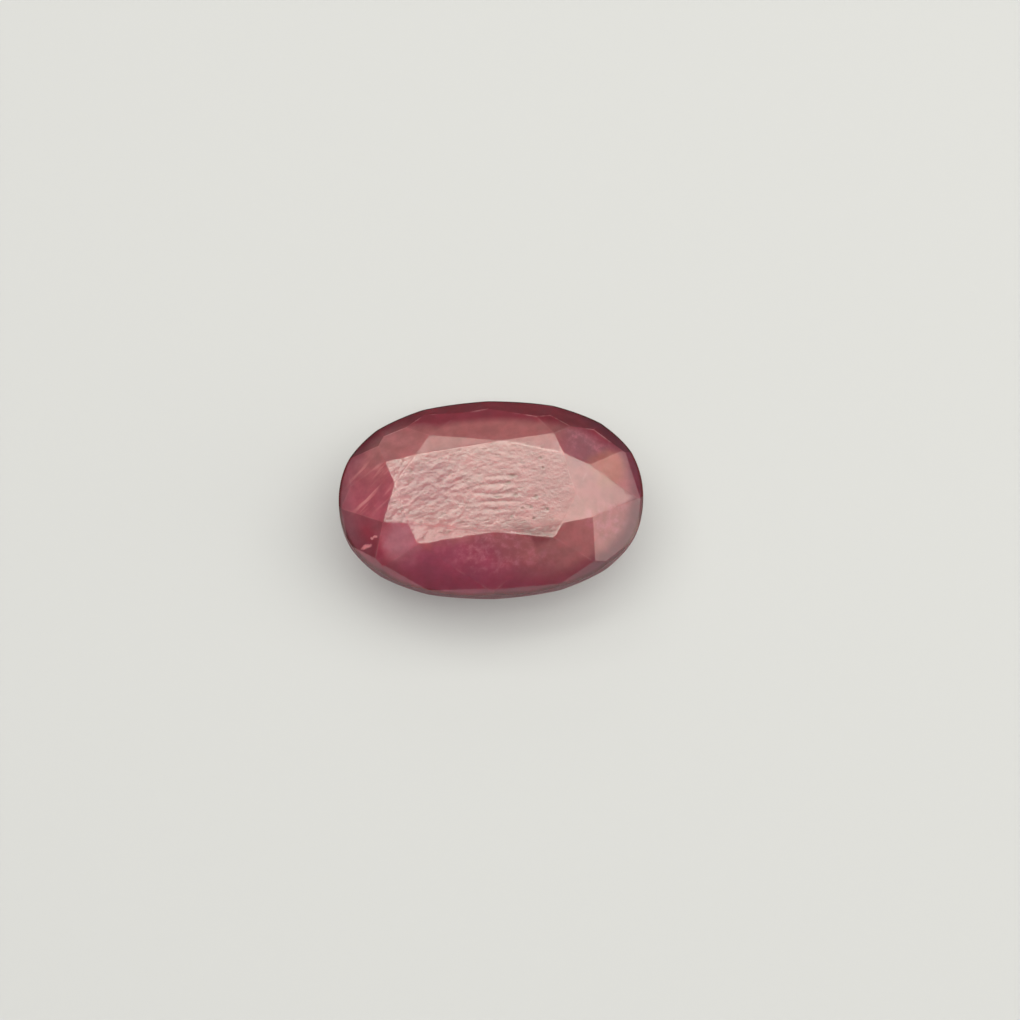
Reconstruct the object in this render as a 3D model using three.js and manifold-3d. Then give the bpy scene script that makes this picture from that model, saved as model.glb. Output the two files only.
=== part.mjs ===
// A hand-cut oval ruby: a brilliant crown round a broad table, a girdle left as a plain upright band,
// and a stepped pavilion that ends in a flat culet, on which the stone stands.
// Millimetres, +Z up through the table, +X along the stone, origin at the middle of the culet.
import * as THREE from "three";
import { mergeVertices } from "three/addons/utils/BufferGeometryUtils.js";
import Module from "manifold-3d";

// Driving dimensions
const length = 12.5;
const width = 8.3;
const outlinePower = 2.26; // 2 is a plain ellipse, and more squares up its four corners
const pavilionDepth = 2.65;
const girdleThickness = 0.42;
const crownHeight = 1.66;

// Heights above the culet
const girdleBottom = pavilionDepth;
const girdleTop = girdleBottom + girdleThickness;
const tableHeight = girdleTop + crownHeight;

// The crown's cutting list, clockwise from the far side. Each row holds a corner of the table, the main
// facet that falls away from it, how far below the table the tip of the next star lies, and the break facet
// below that tip. A facet is the azimuth it faces (0 is +X, 90 is +Y) and its slope from level, in degrees.
const crownCuts = [
  { corner: [0.5, 1.96], main: [93, 29], starDrop: 0.09, breakFacet: [75, 37] },
  { corner: [3.0, 1.36], main: [32, 27], starDrop: 0.36, breakFacet: [13, 28] },
  { corner: [3.45, -0.41], main: [5, 25], starDrop: 0.27, breakFacet: [-30, 38.5] },
  { corner: [2.85, -1.61], main: [-53, 27], starDrop: 0.14, breakFacet: [-80, 37] },
  { corner: [0.1, -1.91], main: [-91, 29], starDrop: 0.23, breakFacet: [-102, 40] },
  { corner: [-3.4, -1.41], main: [-131, 29], starDrop: 0.31, breakFacet: [-157, 39] },
  { corner: [-3.9, 0.29], main: [180, 30], starDrop: 0.22, breakFacet: [155, 40] },
  { corner: [-3.0, 1.49], main: [116, 30], starDrop: 0.33, breakFacet: [102, 36] },
];

// The shoulder is the last ring of small facets, between the crown's mains and the girdle. Those on the far
// side, towards +Y, lean in more.
const shoulderFacets = 16;
const nearShoulderSlope = 66;
const farShoulderSlope = 50;

// The pavilion's steps lie between oval rings that shrink from the girdle to the culet.
const pavilionColumns = 16;
const pavilionRings = [
  { height: girdleBottom, length, width },
  { height: 1.8, length: 11.1, width: 7.1 },
  { height: 0.8, length: 8.0, width: 4.7 },
  { height: 0, length: 3.6, width: 1.9 },
];

const outlinePoints = 128;
const lapSize = 40; // of the block that grinds a facet, wider than the whole stone
const rubyColour = 0x9a3a48;

const wasm = await Module();
wasm.setup();

// A closed three.js geometry as a solid that can be cut.
function solidOf(geometry) {
  const bare = geometry.clone();
  bare.deleteAttribute("normal");
  bare.deleteAttribute("uv");
  const merged = mergeVertices(bare);
  return new wasm.Manifold(
    new wasm.Mesh({
      numProp: 3,
      vertProperties: merged.attributes.position.array,
      triVerts: new Uint32Array(merged.index.array),
    }),
  );
}

// A solid as a three.js geometry with flat faces.
function geometryOf(solid) {
  const mesh = solid.getMesh();
  const indexed = new THREE.BufferGeometry();
  indexed.setAttribute("position", new THREE.BufferAttribute(mesh.vertProperties, mesh.numProp));
  indexed.setIndex(new THREE.BufferAttribute(mesh.triVerts, 1));
  const flat = indexed.toNonIndexed();
  flat.computeVertexNormals();
  return flat;
}

// The point at an angle round an oval of this size, on the superellipse |x/a|^n + |y/b|^n = 1.
function ovalPoint(angle, size) {
  const along = (value) => Math.sign(value) * Math.abs(value) ** (2 / outlinePower);
  return new THREE.Vector2(
    (size.length / 2) * along(Math.cos(angle)),
    (size.width / 2) * along(Math.sin(angle)),
  );
}

// How far an oval of this size reaches from its middle, along a level unit direction.
function ovalReach(direction, size) {
  const dual = outlinePower / (outlinePower - 1);
  const sum =
    Math.abs((size.length / 2) * direction.x) ** dual + Math.abs((size.width / 2) * direction.y) ** dual;
  return sum ** (1 / dual);
}

// The level direction that the girdle's outline faces at each of count angles round it.
function facetDirections(count) {
  const half = { x: length / 2, y: width / 2 };
  const steepness = (value, halfSize) =>
    (Math.sign(value) * Math.abs(value / halfSize) ** (outlinePower - 1)) / halfSize;
  return Array.from({ length: count }, (_, k) => {
    const point = ovalPoint((2 * Math.PI * (k + 0.5)) / count, { length, width });
    return new THREE.Vector2(steepness(point.x, half.x), steepness(point.y, half.y)).normalize();
  });
}

// A plane through a point that faces a level direction and falls at a slope in degrees. A slope over 90
// faces down, as the pavilion's do.
function slopingPlane(point, direction, slope) {
  const turn = THREE.MathUtils.degToRad(slope);
  const normal = new THREE.Vector3(
    Math.sin(turn) * direction.x,
    Math.sin(turn) * direction.y,
    Math.cos(turn),
  );
  return new THREE.Plane().setFromNormalAndCoplanarPoint(normal, point);
}

// The same for one facet of the cutting list.
function listedPlane(point, [azimuth, slope]) {
  const turn = THREE.MathUtils.degToRad(azimuth);
  return slopingPlane(point, new THREE.Vector2(Math.cos(turn), Math.sin(turn)), slope);
}

// A plane through three points of the crown, facing up.
function crownPlane(a, b, c) {
  const plane = new THREE.Plane().setFromCoplanarPoints(a, b, c);
  return plane.normal.z < 0 ? plane.negate() : plane;
}

// Where two planes meet at a given height.
function meetAtHeight(first, second, height) {
  const level = new THREE.Plane(new THREE.Vector3(0, 0, 1), -height);
  const rows = [first, second, level];
  const matrix = new THREE.Matrix3().set(...rows.flatMap((plane) => plane.normal.toArray()));
  const offsets = new THREE.Vector3(...rows.map((plane) => -plane.constant));
  return offsets.applyMatrix3(matrix.invert());
}

// The mains fall away from the table's corners. Two neighbours meet in a ridge, and a star's tip lies on
// it, with the star above the tip and a break below it.
function crownPlanes() {
  const corners = crownCuts.map(({ corner }) => new THREE.Vector3(...corner, tableHeight));
  const mains = crownCuts.map(({ main }, i) => listedPlane(corners[i], main));
  const sectors = crownCuts.map(({ starDrop, breakFacet }, i) => {
    const next = (i + 1) % crownCuts.length;
    const starTip = meetAtHeight(mains[i], mains[next], tableHeight - starDrop);
    const star = crownPlane(corners[i], corners[next], starTip);
    return [mains[i], star, listedPlane(starTip, breakFacet)];
  });
  return sectors.flat();
}

// Small facets that start at the girdle's top edge and lean in over it.
function shoulderPlanes() {
  return facetDirections(shoulderFacets).map((direction) => {
    const edge = direction.clone().multiplyScalar(ovalReach(direction, { length, width }));
    const slope = direction.y > 0 ? farShoulderSlope : nearShoulderSlope;
    return slopingPlane(new THREE.Vector3(edge.x, edge.y, girdleTop), direction, slope);
  });
}

// One facet for each step of each column, from the line where it touches the upper ring to the lower one.
function pavilionPlanes() {
  return facetDirections(pavilionColumns).flatMap((direction) =>
    pavilionRings.slice(1).map((lower, step) => {
      const upper = pavilionRings[step];
      const upperReach = ovalReach(direction, upper);
      const run = upperReach - ovalReach(direction, lower);
      const slope = 180 - THREE.MathUtils.radToDeg(Math.atan2(upper.height - lower.height, run));
      const edge = direction.clone().multiplyScalar(upperReach);
      return slopingPlane(new THREE.Vector3(edge.x, edge.y, upper.height), direction, slope);
    }),
  );
}

// The blank is an upright prism of the girdle's outline, from the culet to the table.
function blank() {
  const outline = new THREE.Shape(
    Array.from({ length: outlinePoints }, (_, k) =>
      ovalPoint((2 * Math.PI * k) / outlinePoints, { length, width }),
    ),
  );
  return solidOf(new THREE.ExtrudeGeometry(outline, { depth: tableHeight, bevelEnabled: false }));
}

// Everything in front of a plane, as a block large enough to grind one facet.
function lapFor(plane) {
  const block = new THREE.BoxGeometry(lapSize, lapSize, lapSize).translate(0, 0, lapSize / 2);
  const turn = new THREE.Quaternion().setFromUnitVectors(new THREE.Vector3(0, 0, 1), plane.normal);
  const foot = plane.coplanarPoint(new THREE.Vector3());
  return solidOf(block.applyQuaternion(turn).translate(foot.x, foot.y, foot.z));
}

function cutStone() {
  const planes = [...crownPlanes(), ...shoulderPlanes(), ...pavilionPlanes()];
  return planes.reduce((stone, plane) => stone.subtract(lapFor(plane)), blank());
}

const ruby = new THREE.Mesh(
  geometryOf(cutStone()),
  new THREE.MeshStandardMaterial({
    color: rubyColour,
    roughness: 0.12,
    metalness: 0,
    transparent: true,
    opacity: 0.85,
  }),
);
ruby.name = "ruby";

const stone = new THREE.Group();
stone.add(ruby);

export default stone;
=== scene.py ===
import math

import bpy
import numpy as np
from mathutils import Matrix, Vector


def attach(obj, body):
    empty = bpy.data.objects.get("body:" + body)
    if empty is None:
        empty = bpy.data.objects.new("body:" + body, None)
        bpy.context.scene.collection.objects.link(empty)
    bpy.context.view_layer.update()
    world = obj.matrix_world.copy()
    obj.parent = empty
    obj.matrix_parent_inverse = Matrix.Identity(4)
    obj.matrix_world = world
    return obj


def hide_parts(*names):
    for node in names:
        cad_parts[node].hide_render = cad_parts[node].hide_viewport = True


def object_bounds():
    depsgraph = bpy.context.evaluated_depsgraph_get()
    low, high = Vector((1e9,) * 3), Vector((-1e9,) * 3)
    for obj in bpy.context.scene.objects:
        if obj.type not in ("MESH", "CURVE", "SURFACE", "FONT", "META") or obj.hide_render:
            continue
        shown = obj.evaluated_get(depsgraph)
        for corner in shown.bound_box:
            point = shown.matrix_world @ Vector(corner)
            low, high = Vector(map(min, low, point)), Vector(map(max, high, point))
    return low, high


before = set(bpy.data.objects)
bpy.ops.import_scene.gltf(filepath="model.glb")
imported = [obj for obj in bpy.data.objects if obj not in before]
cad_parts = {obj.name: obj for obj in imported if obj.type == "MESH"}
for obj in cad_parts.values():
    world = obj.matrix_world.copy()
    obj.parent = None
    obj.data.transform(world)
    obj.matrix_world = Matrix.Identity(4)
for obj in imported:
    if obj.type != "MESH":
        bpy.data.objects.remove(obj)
cadLow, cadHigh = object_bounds()
mm = 0.001
print("frame loaded:", sorted(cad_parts), "box in mm", [round(v / mm, 2) for v in cadHigh - cadLow])


# The stone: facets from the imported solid, with the edges that polishing has softened
stone = {
    "node": "ruby",
    "name": "cutRuby",
    "slot": "ruby",
    "edgeSoftness": 0.004 * mm,     # how far the polish has eaten into an edge
    "softenSteps": 8,               # in which a point finds the softened surface
    "edgeStep": 0.17 * mm,          # longest step between vertices along an edge
    "edgeRows": [0, 0.006 * mm, 0.015 * mm, 0.035 * mm, 0.08 * mm, 0.2 * mm],  # rows beside an edge
    "edgeShare": 0.6,               # how far into a small facet those rows may go
    "innerRows": 3,                 # rows from there to the facet's middle
    "flatness": 0.002 * mm,         # triangles closer than this to a plane are in that facet
    "weld": 0.0001 * mm,
    "outlinePower": 2.26,           # of the girdle's oval
    "girdleTilt": 0.02,             # a facet that faces up or down less than this is the girdle's
    "tableSlope": 1,                # in degrees, under which a facet is the table
    "starSlope": 20,                # and under which it is a star
    "shoulderSlope": (49, 80),      # of the small facets over the girdle
    "endRatio": 1.6,                # a shoulder facet is at an end if it faces so much more along than across
    "lapTurn": 137.5,               # degrees from one facet's polishing direction to the next one's
    "lapShift": (20, 13),           # mm from the table's lap to the first facet's, and between the others
    "handPolish": {"table": 1.0, "stars": 0.9, "rest": 0.3},       # how strongly each kind is rippled
    "litAndShadedFacets": [                      # painted light and shade: facets made lighter or darker, by the way they face, their slope and brightness factor
        (-157, 39, 0.85), (155, 40, 1.15), (102, 36, 0.95), (75, 37, 0.85), (-30, 38.5, 1.1),
        (116, 30, 1.1), (13, 28, 1.15), (180, 30, 1.15), (-131, 29, 1.15), (-102, 40, 1.1),
    ],
    "toneMatch": (3, 2),            # degrees that a facet may be off the listed way and slope
    # painted light and shade on the shoulder facets, by the side they are on
    "shoulderLightAndShade": {"ends": 1.15, "left": 1.6, "right": 1.1, "far": 0.75},
    "edgeGlintWidth": 0.045 * mm,        # of the painted pale highlight line on each side of an edge
    "topEdgeGlint": {"near": 0.1, "far": 0.45},      # of the edges round the table
    "nearEdgeGlint": 0.2,                # of the other edges, except
    "farEdges": 2.0 * mm,           # those past here that meet the shoulder, which get the full painted highlight
    "shoulderStart": 0.79,          # where the shoulder starts, from the axis to the outline
}


def readFacets(node):
    # The planes of a convex solid. The largest triangle left gives a plane, and every triangle with all its
    # corners in that plane belongs to the same facet. A facet's corners are sorted by angle round its middle.
    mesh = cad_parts[node].data
    mesh.calc_loop_triangles()
    index = np.empty(len(mesh.loop_triangles) * 3, dtype=np.int32)
    mesh.loop_triangles.foreach_get("vertices", index)
    places = np.empty(len(mesh.vertices) * 3, dtype=np.float32)
    mesh.vertices.foreach_get("co", places)
    places = places.reshape(-1, 3).astype(float)
    _, first, inverse = np.unique(
        np.round(places / stone["weld"]), axis=0, return_index=True, return_inverse=True)
    corners = places[first]
    triangles = inverse.ravel()[index].reshape(-1, 3)
    a, b, c = (corners[triangles[:, k]] for k in range(3))
    cross = np.cross(b - a, c - a)
    area = np.linalg.norm(cross, axis=1)
    left = area > stone["weld"] ** 2
    facets = []
    while left.any():
        best = np.argmax(np.where(left, area, 0))
        normal = cross[best] / area[best]
        offset = normal @ a[best]
        inPlane = np.abs(corners @ normal - offset) < stone["flatness"]
        members = inPlane[triangles].all(axis=1)
        left &= ~members
        ring = np.unique(triangles[members])
        across, along = planeAxes(normal, 0)
        spread = corners[ring] - corners[ring].mean(axis=0)
        ring = ring[np.argsort(np.arctan2(spread @ along, spread @ across))]
        facets.append({"normal": normal, "offset": offset, "ring": ring})
    return corners, facets


def planeAxes(normal, turn):
    # Two unit directions in a plane: level, and up the slope, both turned by an angle in the plane.
    level = np.cross([0, 0, 1], normal)
    size = np.linalg.norm(level)
    level = level / size if size > 1e-6 else np.array([1.0, 0, 0])
    upslope = np.cross(normal, level)
    c, s = math.cos(turn), math.sin(turn)
    return c * level + s * upslope, c * upslope - s * level


def facetGrid(corners, facet):
    # Boundary points run round the facet's edges in equal steps, counted from the lower corner number so that
    # two facets get the same points on a shared edge. Rows then shrink that ring towards the middle:
    # row(v, u) = middle + v * (boundary(u) - middle), with v from 1 at the edge to 0.
    ring, after = facet["ring"], np.roll(facet["ring"], -1)
    low, high = np.minimum(ring, after), np.maximum(ring, after)
    lengths = np.linalg.norm(corners[high] - corners[low], axis=1)
    steps = np.maximum(1, np.ceil(lengths / stone["edgeStep"])).astype(int)
    edge = np.repeat(np.arange(len(ring)), steps)
    count = np.arange(steps.sum()) - np.repeat(np.cumsum(steps) - steps, steps)
    share = np.where((ring < after)[edge], count, steps[edge] - count) / steps[edge]
    boundary = corners[low][edge] + (corners[high] - corners[low])[edge] * share[:, None]
    middle = boundary.mean(axis=0)
    reach = np.linalg.norm(boundary - middle, axis=1).min()
    insets = np.array(stone["edgeRows"])
    outer = 1 - insets[insets < stone["edgeShare"] * reach] / reach
    inner = np.linspace(outer[-1], 0, stone["innerRows"] + 2)[1:-1]
    rows = np.concatenate([outer, inner])
    grid = middle + rows[:, None, None] * (boundary - middle)
    grid[0] = boundary
    points = np.concatenate([grid.reshape(-1, 3), middle[None]])
    u = np.arange(len(boundary))
    v = np.arange(len(rows) - 1)[:, None] * len(boundary)
    nextU = np.roll(u, -1)
    quads = np.stack([v + u, v + nextU, v + nextU + len(boundary), v + u + len(boundary)], axis=-1)
    lastRow = (len(rows) - 1) * len(boundary)
    fan = np.stack([lastRow + u, lastRow + nextU, np.full_like(u, len(points) - 1)], axis=-1)
    inset = np.append(np.repeat((1 - rows) * reach, len(boundary)), reach)
    return points, quads.reshape(-1, 4), fan, inset


def lapPlaces(places, normal, number):
    # Table and stars share one lap, seen from above. Every other facet has its own, in its plane and far away.
    if isTop(normal):
        return places[:, :2]
    across, along = planeAxes(normal, math.radians(number * stone["lapTurn"]))
    start, apart = stone["lapShift"]
    return np.stack([places @ across + start + apart * number, places @ along], axis=-1)


def outlineReach(places):
    # 0 on the stone's axis and 1 on the girdle's outline, |x/a|^n + |y/b|^n = 1
    power = stone["outlinePower"]
    share = np.abs(places[:, :2] / np.array(cadHigh)[:2])
    return (share ** power).sum(axis=1) ** (1 / power)


def softenEdges(points, facets):
    # A point moves along its line from the stone's middle until the soft largest of its heights over the
    # facet planes and the girdle's oval wall, softness * log(sum(exp(height / softness))), is zero.
    flats = [f for f in facets if not isGirdle(f["normal"])]
    normals = np.array([f["normal"] for f in flats])
    middle = np.array((cadLow + cadHigh) / 2)
    flatDepth = normals @ middle - np.array([f["offset"] for f in flats])
    softness = stone["edgeSoftness"]
    batch = 8000                    # points at a time, to save memory
    moved = np.empty_like(points)
    for part in np.array_split(np.arange(len(points)), 1 + len(points) // batch):
        lines = points[part] - middle
        level = np.linalg.norm(lines[:, :2], axis=1)
        wall = level / np.maximum(outlineReach(lines), 1e-6)
        rise = np.column_stack([lines @ normals.T, level])
        depth = np.column_stack([np.tile(flatDepth, (len(part), 1)), -np.where(level > 0, wall, 1)])
        stretch = np.ones(len(part))
        for _ in range(stone["softenSteps"]):
            height = (depth + stretch[:, None] * rise) / softness
            top = height.max(axis=1)
            share = np.exp(height - top[:, None])
            total = share.sum(axis=1)
            slope = (share * rise).sum(axis=1) / total
            stretch -= softness * (top + np.log(total)) / slope
        moved[part] = middle + stretch[:, None] * lines
    return moved


def slopeOf(normal):
    # Degrees from level, over 90 for a facet that faces down
    return math.degrees(math.atan2(math.hypot(normal[0], normal[1]), normal[2]))


def isGirdle(normal):
    return abs(normal[2]) < stone["girdleTilt"]


def isTop(normal):
    return slopeOf(normal) < stone["starSlope"]      # the table and its stars


def isShoulder(normal):
    low, high = stone["shoulderSlope"]
    return low < slopeOf(normal) < high


def facetLightAndShade(normal):
    # Painted light and shade: a brightness factor for a facet, by the way it faces
    azimuth = math.degrees(math.atan2(normal[1], normal[0]))
    turnMatch, slopeMatch = stone["toneMatch"]
    for facing, listedSlope, tone in stone["litAndShadedFacets"]:
        turn = abs((azimuth - facing + 180) % 360 - 180)
        if turn < turnMatch and abs(slopeOf(normal) - listedSlope) < slopeMatch:
            return tone
    if not isShoulder(normal):
        return 1.0
    nearSide = "left" if normal[0] < 0 else "right"
    isEnd = abs(normal[0]) > stone["endRatio"] * abs(normal[1])
    side = "ends" if isEnd else "far" if normal[1] > 0 else nearSide
    return stone["shoulderLightAndShade"][side]


def facetPolish(normal):
    kind = "table" if slopeOf(normal) < stone["tableSlope"] else "stars" if isTop(normal) else "rest"
    return stone["handPolish"][kind]


def edgeGlint(places, inset, normal):
    # Painted highlight along the edges, stronger on the far side: 1 at the edge, 0 from the line's width on.
    # The girdle and the shoulder have none of their own.
    glintLine = np.clip(1 - inset / stone["edgeGlintWidth"], 0, 1)
    if isGirdle(normal) or isShoulder(normal):
        return 0 * glintLine
    if isTop(normal):
        return glintLine * np.where(places[:, 1] > 0, stone["topEdgeGlint"]["far"], stone["topEdgeGlint"]["near"])
    isFar = (places[:, 1] > stone["farEdges"]) & (outlineReach(places) > stone["shoulderStart"])
    return glintLine * np.where(isFar, 1, stone["nearEdgeGlint"])


def buildStone(material):
    corners, facets = readFacets(stone["node"])
    points, quads, fans, lapUv, glint = [], [], [], [], []
    start = 0
    for k, facet in enumerate(facets):
        facetPoints, facetQuads, facetFan, facetInset = facetGrid(corners, facet)
        lapUv.append(lapPlaces(facetPoints / mm, facet["normal"], k))
        glint.append(edgeGlint(facetPoints, facetInset, facet["normal"]))
        points.append(facetPoints)
        quads.append(facetQuads + start)
        fans.append(facetFan + start)
        start += len(facetPoints)
    normals = [facet["normal"] for facet in facets]
    owner = np.concatenate([
        np.repeat(np.arange(len(facets)), [len(q) for q in quads]),
        np.repeat(np.arange(len(facets)), [len(f) for f in fans])])
    points, lapUv = np.concatenate(points), np.concatenate(lapUv)
    quads, fans = np.concatenate(quads), np.concatenate(fans)
    _, first, weld = np.unique(
        np.round(points / stone["weld"]), axis=0, return_index=True, return_inverse=True)
    weld = weld.ravel()
    places = softenEdges(points[first], facets)

    mesh = bpy.data.meshes.new(stone["name"])
    loopPoints = np.concatenate([quads.ravel(), fans.ravel()])
    loopTotals = np.concatenate([np.full(len(quads), 4), np.full(len(fans), 3)])
    mesh.vertices.add(len(places))
    mesh.vertices.foreach_set("co", places.astype(np.float32).ravel())
    mesh.loops.add(len(loopPoints))
    mesh.loops.foreach_set("vertex_index", weld[loopPoints].astype(np.int32))
    mesh.polygons.add(len(loopTotals))
    mesh.polygons.foreach_set("loop_start", (np.cumsum(loopTotals) - loopTotals).astype(np.int32))
    mesh.polygons.foreach_set("use_smooth", np.ones(len(loopTotals), dtype=bool))
    mesh.update(calc_edges=True)
    uv = mesh.uv_layers.new(name="lap")
    uv.data.foreach_set("uv", lapUv[loopPoints].astype(np.float32).ravel())
    addValues(mesh, "rim", "POINT", outlineReach(places))
    # painted highlight along the edges
    addValues(mesh, "glint", "POINT", np.concatenate(glint)[first])
    addValues(mesh, "girdle", "FACE", np.array([isGirdle(n) for n in normals])[owner])
    # painted light and shade, as a brightness factor for each facet
    addValues(mesh, "tone", "FACE", np.array([facetLightAndShade(n) for n in normals])[owner])
    addValues(mesh, "handPolish", "FACE", np.array([facetPolish(n) for n in normals])[owner])
    mesh.materials.append(material)
    piece = bpy.data.objects.new(stone["name"], mesh)
    bpy.context.scene.collection.objects.link(piece)
    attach(piece, "root")
    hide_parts(stone["node"])
    print("stone built:", len(facets), "facets,", len(places), "points,", len(loopTotals), "faces")
    return piece


def addValues(mesh, name, domain, values):
    mesh.attributes.new(name, "FLOAT", domain).data.foreach_set("value", values.astype(np.float32))


# The ruby's look: a cloudy crystal with soft colour zones, with painted shade in bands round its outline.
# Places are in mm, and a rim's "from" gives where it starts and where it is full, from 0 on the stone's axis
# to 1 on its outline.
rubyLook = {
    "body": (0.42, 0.125, 0.155, 1),
    "zones": [
        {"at": (-2.7, 0.2), "reach": (1.9, 1.3), "colour": (0.37, 0.07, 0.115, 1), "share": 0.9},
        {"at": (0.0, 2.6), "reach": (4.0, 1.3), "colour": (0.44, 0.15, 0.165, 1), "share": 0.9},
        {"at": (-3.7, 1.9), "reach": (1.6, 1.1), "colour": (0.46, 0.175, 0.195, 1), "share": 0.9},
        {"at": (4.3, 2.0), "reach": (1.7, 1.3), "colour": (0.34, 0.125, 0.17, 1), "share": 0.9},
        {"at": (5.0, 0.9), "reach": (1.0, 0.9), "colour": (0.48, 0.18, 0.16, 1), "share": 0.8},
        {"at": (3.4, -2.0), "reach": (2.6, 1.5), "colour": (0.46, 0.155, 0.175, 1), "share": 0.9},
        {"at": (-1.8, -3.3), "reach": (3.2, 1.2), "colour": (0.42, 0.07, 0.15, 1), "share": 0.9},
        {"at": (-5.2, -0.9), "reach": (2.0, 2.2), "colour": (0.46, 0.10, 0.155, 1), "share": 0.9},
        {"at": (-5.4, -2.2), "reach": (1.2, 1.3), "colour": (0.46, 0.04, 0.09, 1), "share": 0.9},
        {"at": (-3.8, -2.1), "reach": (1.1, 0.9), "colour": (0.58, 0.21, 0.29, 1), "share": 0.9},
        {"at": (1.7, -1.85), "reach": (1.3, 0.4), "colour": (0.28, 0.06, 0.08, 1), "share": 0.9},
        {"at": (-2.4, -2.0), "reach": (1.3, 0.5), "colour": (0.54, 0.14, 0.18, 1), "share": 0.7},
    ],
    "zoneWaver": {"scale": 0.7, "amount": (1.5, 1.5, 0)},       # waves to a mm in the borders, and their size
    # painted shade in a band just inside the outline, darkest on the near side
    "rimShade": {
        "near": (0.25, 0.035, 0.07, 1), "sides": (0.37, 0.11, 0.16, 1), "sidesPast": (-2.6, -1.2),
        "from": (0.85, 0.965), "share": 0.8,
    },
    "farRimShade": {                             # painted shade on the far side; at the ends it starts further out, by so much
        "colour": (0.26, 0.025, 0.055, 1), "from": (0.68, 0.79), "share": 0.95, "past": (1.2, 2.6),
        "leftEnd": (-4.0, -1.8), "leftShift": 0.2, "rightEnd": (2.0, 4.0), "rightShift": 0.09,
    },
    "nearRimShade": {                            # painted shade on the near side, strong round its middle, and weak towards the ends
        "colour": (0.23, 0.03, 0.075, 1), "from": (0.68, 0.92), "share": 0.8, "past": (-2.8, -1.2),
        "middle": -0.6, "fade": (1.4, 3.6), "atEnds": 0.12,
    },
    # painted shade at the right end
    "endRimShade": {"colour": (0.16, 0.025, 0.06, 1), "from": (0.88, 0.96), "share": 0.8, "past": (3.2, 5.0)},
    # painted shade in a thin dark line along the outline
    "outline": {"colour": (0.12, 0.01, 0.015, 1), "from": (0.975, 0.995), "share": 0.9},
    "flecks": {
        "patches": [((0.2, -2.7), (2.4, 0.9)), ((4.2, 2.2), (1.4, 0.8)), ((4.9, -1.5), (1.2, 1.0))],
        "colour": (0.55, 0.19, 0.26, 1), "scale": 3.4, "from": (0.42, 0.72), "share": 0.8,
    },
    "needles": {                            # pale silk at the left end, drawn out along an angle in degrees
        "at": (-5.1, 0.35), "reach": (1.3, 1.25), "angle": 40.0, "scale": (0.6, 3.6, 0.0),
        "colour": (0.78, 0.31, 0.33, 1), "from": (0.5, 0.68), "share": 0.75,
    },
    "chips": {                              # on the crown alone
        "patches": [
            ((-5.13, -2.045), (0.23, 0.085)), ((-4.88, -1.775), (0.10, 0.085)), ((-4.76, -1.74), (0.07, 0.06)),
        ],
        "colour": (0.97, 0.36, 0.42, 1), "edge": (0.4, 1.2), "above": (2.9, 3.1),
        "waver": {"scale": 4.0, "amount": (0.3, 0.2, 0.0)},
    },
    "mottle": {"scale": 1.7, "amount": 0.12},
    # painted pale highlight along the facet edges, broken up by noise
    "glintLine": {"colour": (0.72, 0.38, 0.42, 1), "scale": 1.6, "from": (0.4, 0.65), "share": 0.85},
    "frost": {                              # of the girdle, left unpolished
        "colour": (0.24, 0.075, 0.10, 1), "pale": (0.33, 0.125, 0.155, 1), "scale": 14.0, "from": (0.35, 0.65),
        "height": 0.36, "roughness": 0.8,   # the height is against the ripples'
    },
    # painted shade in the pits and the bands' troughs
    "pitShadeColour": (0.22, 0.06, 0.06, 1),
    "roughness": 0.11,
    "transmission": 0.45,
    "ior": 1.77,
    "absorb": (0.80, 0.06, 0.29, 1),
    "absorbDensity": 220,
    "cloud": 0.5 * mm,                      # how far light spreads under the surface
    "cloudRadius": (1.0, 0.25, 0.3),
}


def addNode(tree, kind, inputs=None, **settings):
    made = tree.nodes.new("ShaderNode" + kind)
    for name, value in settings.items():
        setattr(made, name, value)
    for name, value in (inputs or {}).items():
        if isinstance(value, bpy.types.NodeSocket):
            tree.links.new(value, made.inputs[name])
        else:
            made.inputs[name].default_value = value
    return made


def calc(tree, operation, *values):
    return addNode(tree, "Math", dict(enumerate(values)), operation=operation).outputs[0]


def ramp(tree, value, low, high, outLow=0.0, outHigh=1.0):
    inputs = {"Value": value, "From Min": low, "From Max": high, "To Min": outLow, "To Max": outHigh}
    return addNode(tree, "MapRange", inputs, interpolation_type="SMOOTHSTEP").outputs[0]


def vectorCalc(tree, operation, first, second):
    return addNode(tree, "VectorMath", {0: first, 1: second}, operation=operation).outputs[0]


def scaled(tree, place, factor):
    return addNode(tree, "VectorMath", {0: place, "Scale": factor}, operation="SCALE").outputs[0]


def noise(tree, place, scale, detail, roughness=0.5):
    inputs = {"Vector": place, "Scale": scale, "Detail": detail, "Roughness": roughness}
    return addNode(tree, "TexNoise", inputs).outputs["Fac"]


def blend(tree, share, first, second):
    made = addNode(tree, "Mix", {"Factor": share}, data_type="RGBA")
    for socket, value in ((made.inputs[6], first), (made.inputs[7], second)):
        if isinstance(value, bpy.types.NodeSocket):
            tree.links.new(value, socket)
        else:
            socket.default_value = value
    return made.outputs[2]


def newGroup(name, inputs, outputs):
    tree = bpy.data.node_groups.new(name, "ShaderNodeTree")
    for label, kind in inputs:
        tree.interface.new_socket(label, in_out="INPUT", socket_type="NodeSocket" + kind)
    for label, kind in outputs:
        tree.interface.new_socket(label, in_out="OUTPUT", socket_type="NodeSocket" + kind)
    return tree, tree.nodes.new("NodeGroupInput").outputs, tree.nodes.new("NodeGroupOutput").inputs


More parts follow.
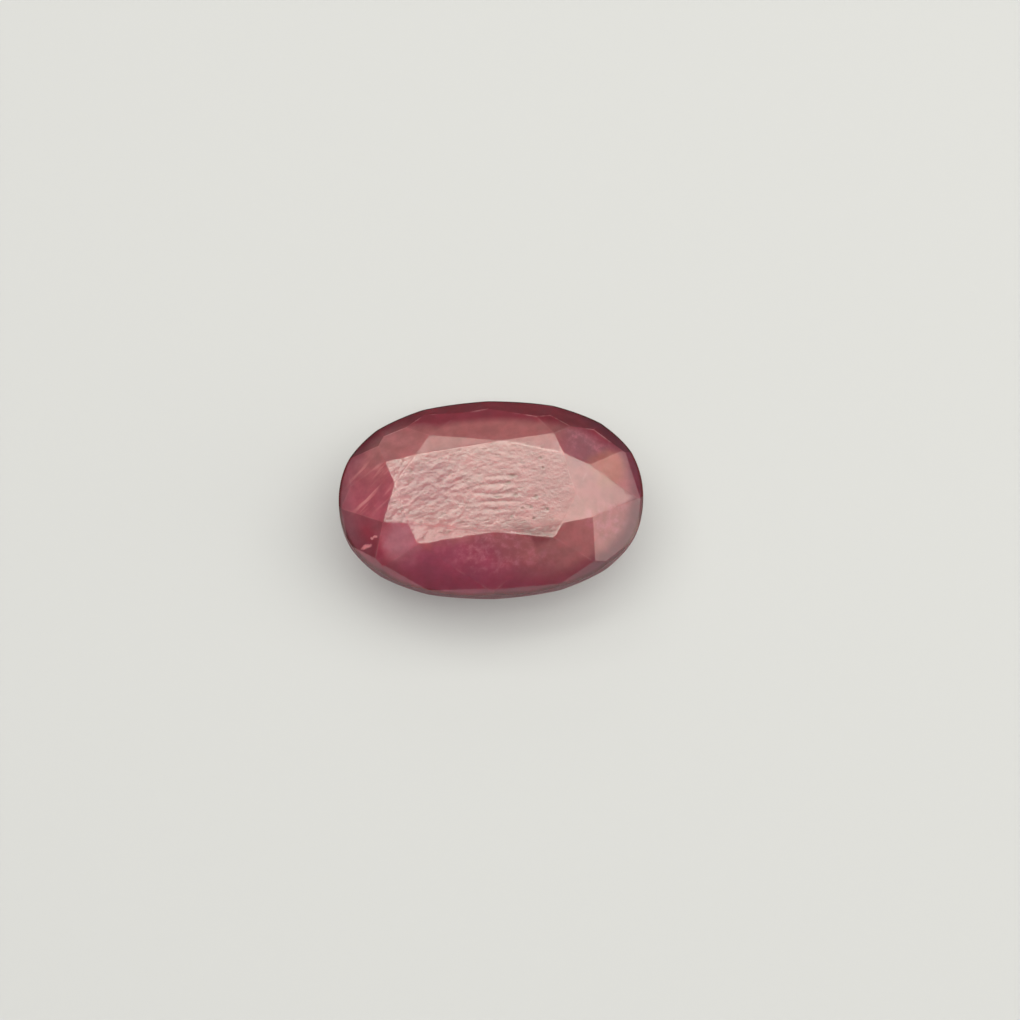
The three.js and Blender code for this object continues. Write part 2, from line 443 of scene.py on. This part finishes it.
def patch(tree, place, at, reach, inner=0.45, outer=1.15):
    # 1 in the middle of an oval patch, falling to 0 round it
    offset = vectorCalc(tree, "SUBTRACT", place, (*at, 0))
    shrunk = vectorCalc(tree, "MULTIPLY", offset, (1 / reach[0], 1 / reach[1], 0))
    away = addNode(tree, "VectorMath", {0: shrunk}, operation="LENGTH").outputs["Value"]
    return ramp(tree, away, inner, outer, 1, 0)


def wavered(tree, place, scale, amount):
    # The same place, pushed about by a soft noise
    soft = addNode(tree, "TexNoise", {"Vector": place, "Scale": scale, "Detail": 3.0}).outputs["Color"]
    shift = vectorCalc(tree, "SUBTRACT", soft, (0.5, 0.5, 0.5))
    inputs = {0: shift, 1: amount, 2: place}
    return addNode(tree, "VectorMath", inputs, operation="MULTIPLY_ADD").outputs[0]


def addRimShade(tree, colour, rim, along, across):
    # Painted shade: darker bands that follow the outline, each from its own distance on
    look = rubyLook["rimShade"]
    edge = blend(tree, ramp(tree, across, *look["sidesPast"]), look["near"], look["sides"])
    colour = blend(tree, ramp(tree, rim, *look["from"], 0, look["share"]), colour, edge)

    look = rubyLook["farRimShade"]
    leftEnd = ramp(tree, along, *look["leftEnd"], look["leftShift"], 0)
    rightEnd = ramp(tree, along, *look["rightEnd"], 0, look["rightShift"])
    shifted = calc(tree, "SUBTRACT", rim, calc(tree, "MAXIMUM", leftEnd, rightEnd))
    far = ramp(tree, across, *look["past"], 0, look["share"])
    far = calc(tree, "MULTIPLY", far, ramp(tree, shifted, *look["from"]))
    colour = blend(tree, far, colour, look["colour"])

    look = rubyLook["nearRimShade"]
    away = calc(tree, "ABSOLUTE", calc(tree, "SUBTRACT", along, look["middle"]))
    middle = ramp(tree, away, *look["fade"], 1, look["atEnds"])
    near = calc(tree, "MULTIPLY", ramp(tree, across, *look["past"], 1, 0), middle)
    near = calc(tree, "MULTIPLY", near, ramp(tree, rim, *look["from"], 0, look["share"]))
    colour = blend(tree, near, colour, look["colour"])

    look = rubyLook["endRimShade"]
    end = ramp(tree, rim, *look["from"], 0, look["share"])
    end = calc(tree, "MULTIPLY", ramp(tree, along, *look["past"]), end)
    colour = blend(tree, end, colour, look["colour"])

    look = rubyLook["outline"]
    return blend(tree, ramp(tree, rim, *look["from"], 0, look["share"]), colour, look["colour"])


def makeZoneGroup():
    # Soft coloured patches over the body colour, with wavering borders, flecks, needles, painted shade round
    # the rim, a fine mottle times each facet's painted light and shade, and chips
    tree, given, result = newGroup(
        "zonesWithPaintedShade", [("Place", "Vector"), ("Rim", "Float"), ("FacetShading", "Float")], [("Colour", "Color")])
    flat = given["Place"]
    place = wavered(tree, flat, **rubyLook["zoneWaver"])
    along, across, up = addNode(tree, "SeparateXYZ", {0: place}).outputs
    colour = rubyLook["body"]
    for zone in rubyLook["zones"]:
        mask = calc(tree, "MULTIPLY", patch(tree, place, zone["at"], zone["reach"]), zone["share"])
        colour = blend(tree, mask, colour, zone["colour"])

    flecks = rubyLook["flecks"]
    speck = ramp(tree, noise(tree, flat, flecks["scale"], 4.0, 0.65), *flecks["from"], 0, flecks["share"])
    for at, reach in flecks["patches"]:
        mask = calc(tree, "MULTIPLY", speck, patch(tree, place, at, reach))
        colour = blend(tree, mask, colour, flecks["colour"])

    needles = rubyLook["needles"]
    inputs = {"Vector": flat, "Angle": -math.radians(needles["angle"])}
    turned = addNode(tree, "VectorRotate", inputs, rotation_type="Z_AXIS").outputs[0]
    drawn = vectorCalc(tree, "MULTIPLY", turned, needles["scale"])
    fine = ramp(tree, noise(tree, drawn, 1.0, 2.0), *needles["from"], 0, needles["share"])
    mask = calc(tree, "MULTIPLY", fine, patch(tree, flat, needles["at"], needles["reach"]))
    colour = blend(tree, mask, colour, needles["colour"])

    # painted shade round the rim
    colour = addRimShade(tree, colour, given["Rim"], along, across)
    mottle = rubyLook["mottle"]
    uneven = noise(tree, flat, mottle["scale"], 5.0, 0.6)
    tone = ramp(tree, uneven, 0.3, 0.7, 1 - mottle["amount"], 1 + mottle["amount"])
    # the mottle's random tone, times each facet's painted light and shade
    colour = scaled(tree, colour, calc(tree, "MULTIPLY", tone, given["FacetShading"]))

    chips = rubyLook["chips"]
    ragged = wavered(tree, flat, **chips["waver"])
    crown = ramp(tree, up, *chips["above"])
    for at, reach in chips["patches"]:
        mask = calc(tree, "MULTIPLY", patch(tree, ragged, at, reach, *chips["edge"]), crown)
        colour = blend(tree, mask, colour, chips["colour"])
    tree.links.new(colour, result["Colour"])
    return tree


# The hand lap's marks, in mm on the table: X runs along the stone and Y across it
lapMarks = {
    "height": 0.0125 * mm,          # of the ripples, and what the other heights are measured against
    "ripples": (2.0, 2.5, 1),       # to a millimetre, along and across the lap's direction
    "bend": 0.045,                  # how that direction turns towards the table's left end
    "bendFrom": 0.5,
    "leftFade": (-1.5, 0.5, 1.4),   # from and to where the ripples grow towards the left, and to what
    "rightFade": (0.8, 2.6, 0.5),   # and where they fade towards the right
    "lean": 0.54,                   # how the left end tips, in heights to a millimetre
    "leanFrom": (-2.6, -0.4),
    "grain": {"scale": 8.0, "height": 0.36},
    "bands": {                      # straight lines in the middle, with painted shade in their troughs
        "at": (0.25, -0.35), "reach": (1.2, 1.25), "edge": (0.5, 1.0), "spacing": 0.36, "height": 0.145,
        "waver": 0.3, "waverScale": 1.3, "frayed": 0.06, "trough": (-0.5, -1), "shadeStrength": 0.4,
        "grained": (0.35, 0.6),
    },
    "specks": {                     # small pits with painted shade in them, fewer towards the right
        "scale": (2.6, 4.2, 1), "from": (0.55, 0.74), "shadeStrength": 0.55, "fade": (1.6, 3.0, 0.3),
    },
    "pits": [                       # place and reach
        ((0.99, -0.38), (0.11, 0.1)), ((1.81, -0.49), (0.12, 0.1)), ((1.59, -0.91), (0.1, 0.1)),
        ((2.25, -1.02), (0.1, 0.09)), ((2.07, 1.17), (0.1, 0.08)), ((2.14, 0.74), (0.08, 0.08)),
        ((0.80, -1.27), (0.09, 0.09)), ((1.70, -1.39), (0.08, 0.09)), ((0.90, 0.44), (0.22, 0.08)),
        ((0.72, 0.15), (0.12, 0.1)), ((1.25, -0.95), (0.08, 0.08)), ((0.3, -0.45), (0.2, 0.07)),
    ],
    "pitEdge": (0.2, 1.3),
    "pitWaver": {"scale": 6.0, "amount": (0.1, 0.1, 0)},
    "pitDepth": 0.24,
}


def makePolishGroup():
    # Ripples left by a hand lap: noise stretched along the lap's direction, which bends at one end, a few
    # straight bands, a fine grain and pits. They are strongest at that end and fade towards the other.
    # The pit mask also carries painted shade in the pits and in the bands' troughs.
    tree, given, result = newGroup(
        "handPolish", [("Lap", "Vector")], [("Height", "Float"), ("ShadedPits", "Float")])
    x, y, _ = addNode(tree, "SeparateXYZ", {0: given["Lap"]}).outputs
    left = calc(tree, "MINIMUM", calc(tree, "SUBTRACT", x, lapMarks["bendFrom"]), 0)
    bend = calc(tree, "MULTIPLY", calc(tree, "MULTIPLY", left, left), lapMarks["bend"])
    bent = addNode(tree, "CombineXYZ", {"X": x, "Y": calc(tree, "ADD", y, bend)}).outputs[0]
    inputs = {"Vector": vectorCalc(tree, "MULTIPLY", bent, lapMarks["ripples"]), "Scale": 1.0, "Detail": 1.0,
              "Roughness": 0.5, "Distortion": 0.25}
    ripple = addNode(tree, "TexNoise", inputs).outputs["Fac"]
    growFrom, growTo, grown = lapMarks["leftFade"]
    fadeFrom, fadeTo, faded = lapMarks["rightFade"]
    fade = calc(
        tree, "MULTIPLY", ramp(tree, x, growFrom, growTo, grown, 1), ramp(tree, x, fadeFrom, fadeTo, 1, faded))
    height = calc(tree, "MULTIPLY", ripple, fade)

    grain = noise(tree, given["Lap"], lapMarks["grain"]["scale"], 1.0)
    bands = lapMarks["bands"]
    waver = calc(tree, "MULTIPLY", noise(tree, bent, bands["waverScale"], 2.0), bands["waver"])
    shift = calc(tree, "ADD", waver, calc(tree, "MULTIPLY", grain, bands["frayed"]))
    turns = calc(tree, "MULTIPLY", calc(tree, "ADD", y, shift), 2 * math.pi / bands["spacing"])
    sine = calc(tree, "SINE", turns)
    banded = patch(tree, given["Lap"], bands["at"], bands["reach"], *bands["edge"])
    wave = calc(tree, "MULTIPLY", calc(tree, "MULTIPLY", sine, bands["height"]), banded)
    height = calc(tree, "ADD", height, wave)
    height = calc(tree, "ADD", height, calc(tree, "MULTIPLY", grain, lapMarks["grain"]["height"]))
    lean = calc(tree, "MULTIPLY", y, ramp(tree, x, *lapMarks["leanFrom"], lapMarks["lean"], 0))
    tree.links.new(calc(tree, "ADD", height, lean), result["Height"])

    specks = lapMarks["specks"]
    marks = noise(tree, vectorCalc(tree, "MULTIPLY", bent, specks["scale"]), 1.0, 2.0)
    pitsAndShade = ramp(tree, marks, *specks["from"], 0, specks["shadeStrength"])
    fadeFrom, fadeTo, faded = specks["fade"]
    pitsAndShade = calc(tree, "MULTIPLY", pitsAndShade, ramp(tree, x, fadeFrom, fadeTo, 1, faded))
    trough = calc(tree, "MULTIPLY", ramp(tree, sine, *bands["trough"], 0, bands["shadeStrength"]), banded)
    trough = calc(tree, "MULTIPLY", trough, ramp(tree, grain, *bands["grained"]))
    pitsAndShade = calc(tree, "MAXIMUM", pitsAndShade, trough)
    rough = wavered(tree, given["Lap"], **lapMarks["pitWaver"])
    for at, reach in lapMarks["pits"]:
        pitsAndShade = calc(tree, "MAXIMUM", pitsAndShade, patch(tree, rough, at, reach, *lapMarks["pitEdge"]))
    tree.links.new(pitsAndShade, result["ShadedPits"])
    return tree


def makeRuby():
    material = bpy.data.materials.new("ruby")
    material.use_nodes = True
    tree = material.node_tree
    shader = tree.nodes["Principled BSDF"]
    output = tree.nodes["Material Output"]
    place = scaled(tree, addNode(tree, "TexCoord").outputs["Object"], 1 / mm)
    lap = addNode(tree, "UVMap", uv_map="lap").outputs["UV"]
    rim, girdle, tone, hand, glint = (
        addNode(tree, "Attribute", attribute_name=name).outputs["Fac"]
        for name in ("rim", "girdle", "tone", "handPolish", "glint"))
    zones = addNode(tree, "Group", node_tree=makeZoneGroup())
    tree.links.new(place, zones.inputs["Place"])
    tree.links.new(rim, zones.inputs["Rim"])
    # each facet's painted light and shade
    tree.links.new(tone, zones.inputs["FacetShading"])
    polish = addNode(tree, "Group", node_tree=makePolishGroup())
    tree.links.new(lap, polish.inputs["Lap"])

    # painted shade in the pits and the bands' troughs, also pressed in by the bump
    pitsAndShade = calc(tree, "MULTIPLY", polish.outputs["ShadedPits"], hand)
    colour = blend(tree, pitsAndShade, zones.outputs["Colour"], rubyLook["pitShadeColour"])
    # painted pale highlight along the facet edges
    glintLine = rubyLook["glintLine"]
    glintBreak = ramp(tree, noise(tree, place, glintLine["scale"], 2.0), *glintLine["from"], 0, glintLine["share"])
    colour = blend(tree, calc(tree, "MULTIPLY", glint, glintBreak), colour, glintLine["colour"])
    frost = rubyLook["frost"]
    frostGrain = noise(tree, place, frost["scale"], 2.0)
    frosted = blend(tree, ramp(tree, frostGrain, *frost["from"]), frost["colour"], frost["pale"])
    colour = blend(tree, girdle, colour, frosted)
    tree.links.new(colour, shader.inputs["Base Color"])
    rough = ramp(tree, girdle, 0, 1, rubyLook["roughness"], frost["roughness"])
    tree.links.new(rough, shader.inputs["Roughness"])

    height = calc(tree, "MULTIPLY", polish.outputs["Height"], hand)
    height = calc(tree, "SUBTRACT", height, calc(tree, "MULTIPLY", pitsAndShade, lapMarks["pitDepth"]))
    grains = calc(tree, "MULTIPLY", calc(tree, "MULTIPLY", frostGrain, girdle), frost["height"])
    height = calc(tree, "ADD", height, grains)
    bump = addNode(tree, "Bump", {"Height": height, "Distance": lapMarks["height"]})
    tree.links.new(bump.outputs["Normal"], shader.inputs["Normal"])

    shader.inputs["IOR"].default_value = rubyLook["ior"]
    shader.inputs["Transmission Weight"].default_value = rubyLook["transmission"]
    shader.inputs["Subsurface Weight"].default_value = 1.0
    shader.inputs["Subsurface Radius"].default_value = rubyLook["cloudRadius"]
    shader.inputs["Subsurface Scale"].default_value = rubyLook["cloud"]
    inputs = {"Color": rubyLook["absorb"], "Density": rubyLook["absorbDensity"]}
    absorb = addNode(tree, "VolumeAbsorption", inputs)
    tree.links.new(absorb.outputs["Volume"], output.inputs["Volume"])
    print("material made:", material.name)
    return material


# The pale floor under the stone
floorLook = {
    "colour": (0.353, 0.357, 0.392, 1),
    "glow": (0.17, 0.17, 0.16, 1),          # it is lit a little from below, which softens the shadow
    "mirrored": 0.08,                       # how much of it the facets mirror on the far side of the stone
    "farFrom": (-4 * mm, 4 * mm),           # where that side starts, across the stone
    "half": 1.5,
    "roughness": 0.7,
}


def makeFloor():
    half = floorLook["half"]
    mesh = bpy.data.meshes.new("floor")
    mesh.from_pydata(
        [(-half, -half, 0), (half, -half, 0), (half, half, 0), (-half, half, 0)], [], [(0, 1, 2, 3)])
    paper = bpy.data.materials.new("floorPaper")
    paper.use_nodes = True
    tree = paper.node_tree
    shader = tree.nodes["Principled BSDF"]
    rays = addNode(tree, "LightPath").outputs
    across = addNode(tree, "SeparateXYZ", {0: addNode(tree, "TexCoord").outputs["Object"]}).outputs["Y"]
    isMirror = calc(tree, "MULTIPLY", rays["Is Glossy Ray"], rays["Is Reflection Ray"])
    mirrored = calc(tree, "MULTIPLY", isMirror, ramp(tree, across, *floorLook["farFrom"]))
    dim = ramp(tree, mirrored, 0, 1, 1, floorLook["mirrored"])
    for name, colour in (("Base Color", floorLook["colour"]), ("Emission Color", floorLook["glow"])):
        tree.links.new(scaled(tree, colour[:3], dim), shader.inputs[name])
    shader.inputs["Emission Strength"].default_value = 1.0
    shader.inputs["Roughness"].default_value = floorLook["roughness"]
    mesh.materials.append(paper)
    floor = bpy.data.objects.new("floor", mesh)
    bpy.context.scene.collection.objects.link(floor)
    print("floor laid")


# Soft studio light: a wide box overhead with soft bands, three small boxes round the stone, and a dim room
studio = {
    "overhead": {"centre": (0.08, 0.06, 0.30), "size": (0.66, 0.36), "power": 2.8},
    "overheadBands": [              # place across the box, and strength
        (0.0, 1.15), (0.11, 1.15), (0.15, 0.25), (0.2, 0.3), (0.27, 0.85), (0.37, 0.8), (0.465, 0.3),
        (0.67, 1.53), (0.78, 0.6), (0.95, 0.4), (1.0, 1.45),
    ],
    "bandsFrom": 0.38,
    "bandsSlant": -0.43,            # how the bands drift from the box's left end to its right
    "bandsEnd": (0.41, 0.48),       # where along the box they fade out
    "plain": 0.88,                  # strength past there
    "side": {"centre": (0.37, -0.055, 0.15), "size": (0.26, 0.19), "power": 0.25},
    "corner": {"centre": (0.30, 0.18, 0.196), "size": (0.08, 0.08), "power": 0.020},
    "back": {"centre": (-0.028, 0.30, 0.18), "size": (0.12, 0.07), "power": 0.048},
    "tint": (1.0, 0.985, 0.84),
    "room": (0.20, 0.20, 0.20, 1),
    "horizon": (0.65, 0.65, 0.64, 1),
    "horizonFade": (0.03, 0.12),    # how high above the floor's edge it reaches
}


def makeLight(name):
    box = studio[name]
    light = bpy.data.lights.new(name, "AREA")
    light.shape = "RECTANGLE"
    light.size, light.size_y = box["size"]
    light.energy = box["power"]
    light.color = studio["tint"]
    lamp = bpy.data.objects.new(name, light)
    lamp.location = box["centre"]
    lamp.visible_camera = False
    bpy.context.scene.collection.objects.link(lamp)
    return lamp


def addBands(overhead):
    # Strength by place on the box: slanted bands, and one plain strength past their end
    overhead.data.use_nodes = True
    tree = overhead.data.node_tree
    x, y, _ = addNode(tree, "SeparateXYZ", {0: addNode(tree, "NewGeometry").outputs["Parametric"]}).outputs
    drift = calc(tree, "SUBTRACT", x, studio["bandsFrom"])
    drift = calc(tree, "MULTIPLY", drift, studio["bandsSlant"])
    bands = addNode(tree, "ValToRGB", {0: calc(tree, "ADD", y, drift)})
    bands.color_ramp.interpolation = "EASE"
    while len(bands.color_ramp.elements) < len(studio["overheadBands"]):
        bands.color_ramp.elements.new(0.5)
    for element, (at, strength) in zip(bands.color_ramp.elements, studio["overheadBands"]):
        element.position = at
        element.color = (strength, strength, strength, 1)
    past = ramp(tree, x, *studio["bandsEnd"])
    strength = blend(tree, past, bands.outputs["Color"], (*[studio["plain"]] * 3, 1))
    tree.links.new(strength, tree.nodes["Emission"].inputs["Strength"])


def makeLights():
    addBands(makeLight("overhead"))
    for name in ("side", "corner", "back"):
        lamp = makeLight(name)
        lamp.rotation_euler = (-lamp.location).to_track_quat("-Z", "Y").to_euler()
    world = bpy.data.worlds.new("room")
    world.use_nodes = True
    tree = world.node_tree
    height = addNode(tree, "SeparateXYZ", {0: addNode(tree, "TexCoord").outputs["Generated"]}).outputs["Z"]
    seen = addNode(tree, "LightPath").outputs["Is Camera Ray"]
    seen = calc(tree, "MULTIPLY", seen, ramp(tree, height, *studio["horizonFade"], 1, 0))
    colour = blend(tree, seen, studio["room"], studio["horizon"])
    tree.links.new(colour, tree.nodes["Background"].inputs["Color"])
    bpy.context.scene.world = world
    bpy.context.scene.view_settings.view_transform = "Standard"
    print("studio lit")


# The viewpoint: nearly straight down on the table, with the long axis across the picture
viewpoint = {
    "azimuth": -2.0,
    "elevation": 74.0,
    "distance": 0.15,
    "imagePixels": 1020,
    "stonePixel": (491.0, 499.6),     # where the girdle's middle lies in the picture
    "millimetresPerPixel": 12.5 / 304,
    "girdleHeight": 2.86 * mm,
    "sensor": 36,
    "nearest": 0.005,                 # closest thing that is drawn
}


def makeCamera():
    a, e = math.radians(viewpoint["azimuth"]), math.radians(viewpoint["elevation"])
    back = Vector((math.sin(a) * math.cos(e), -math.cos(a) * math.cos(e), math.sin(e)))
    right = Vector((math.cos(a), math.sin(a), 0))
    up = back.cross(right)
    pixel = viewpoint["millimetresPerPixel"] * mm
    half = viewpoint["imagePixels"] / 2
    stoneX, stoneY = viewpoint["stonePixel"]
    aim = Vector((0, 0, viewpoint["girdleHeight"]))
    aim += right * (half - stoneX) * pixel - up * (half - stoneY) * pixel
    lens = bpy.data.cameras.new("camera")
    lens.sensor_width = viewpoint["sensor"]
    lens.lens = lens.sensor_width / 2 * viewpoint["distance"] / (half * pixel)
    lens.clip_start = viewpoint["nearest"]
    camera = bpy.data.objects.new("camera", lens)
    turn = Matrix((right, up, back)).transposed().to_4x4()
    camera.matrix_world = Matrix.Translation(aim + back * viewpoint["distance"]) @ turn
    bpy.context.scene.collection.objects.link(camera)
    bpy.context.scene.camera = camera
    print("camera set, lens", round(lens.lens, 1))


makeCamera()
buildStone(makeRuby())
makeFloor()
makeLights()
